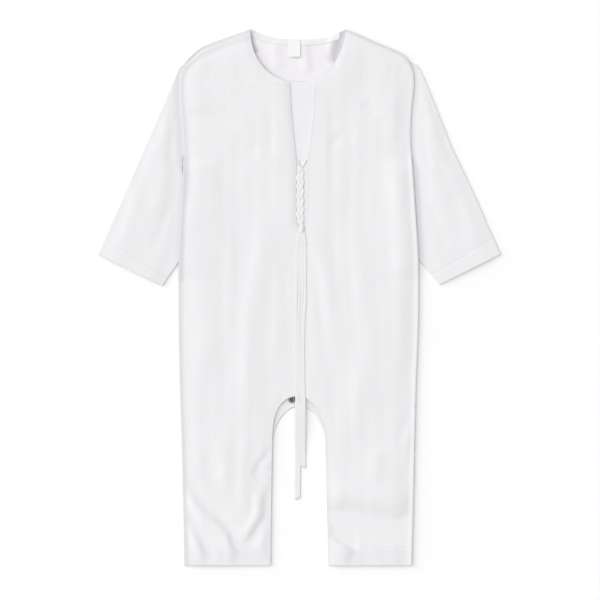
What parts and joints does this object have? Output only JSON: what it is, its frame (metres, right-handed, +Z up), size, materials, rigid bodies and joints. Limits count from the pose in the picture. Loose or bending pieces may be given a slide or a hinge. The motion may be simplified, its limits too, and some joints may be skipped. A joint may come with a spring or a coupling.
{
  "type": "baby romper",
  "caption": "Long-sleeved baby romper in plain white cotton, laid flat, with a round neck, a chest slit tied by a plaited cord and tassel, and a snap crotch.",
  "frame": {"origin": "centre of the laid-out garment, on the surface that it lies on", "axes": "+X to the right as seen from above, +Y from the leg hems to the neck, +Z up through the front"},
  "size_m": [0.464, 0.6156, 0.0077],
  "materials": {
    "white_cotton": "smooth fine plain-woven cotton, matt with a faint sheen",
    "white_cotton_inside": "smooth fine plain-woven cotton, matt with a faint sheen",
    "white_cord": "soft twisted cord",
    "label_satin": "satin ribbon",
    "snap_steel": "dull dark"
  },
  "bodies": {
    "root": {"back_panel": "white_cotton_inside", "front_panel": "white_cotton", "sleeve_left": "white_cotton", "sleeve_right": "white_cotton", "underlap": "white_cotton", "back_neck_facing": "white_cotton_inside", "size_label": "label_satin", "crotch_snap_band": "white_cotton_inside", "crotch_snap": "snap_steel", "plaited_cord": "white_cord", "plait_ties": "white_cord", "tassel": "white_cord"}
  },
  "joints": []
}
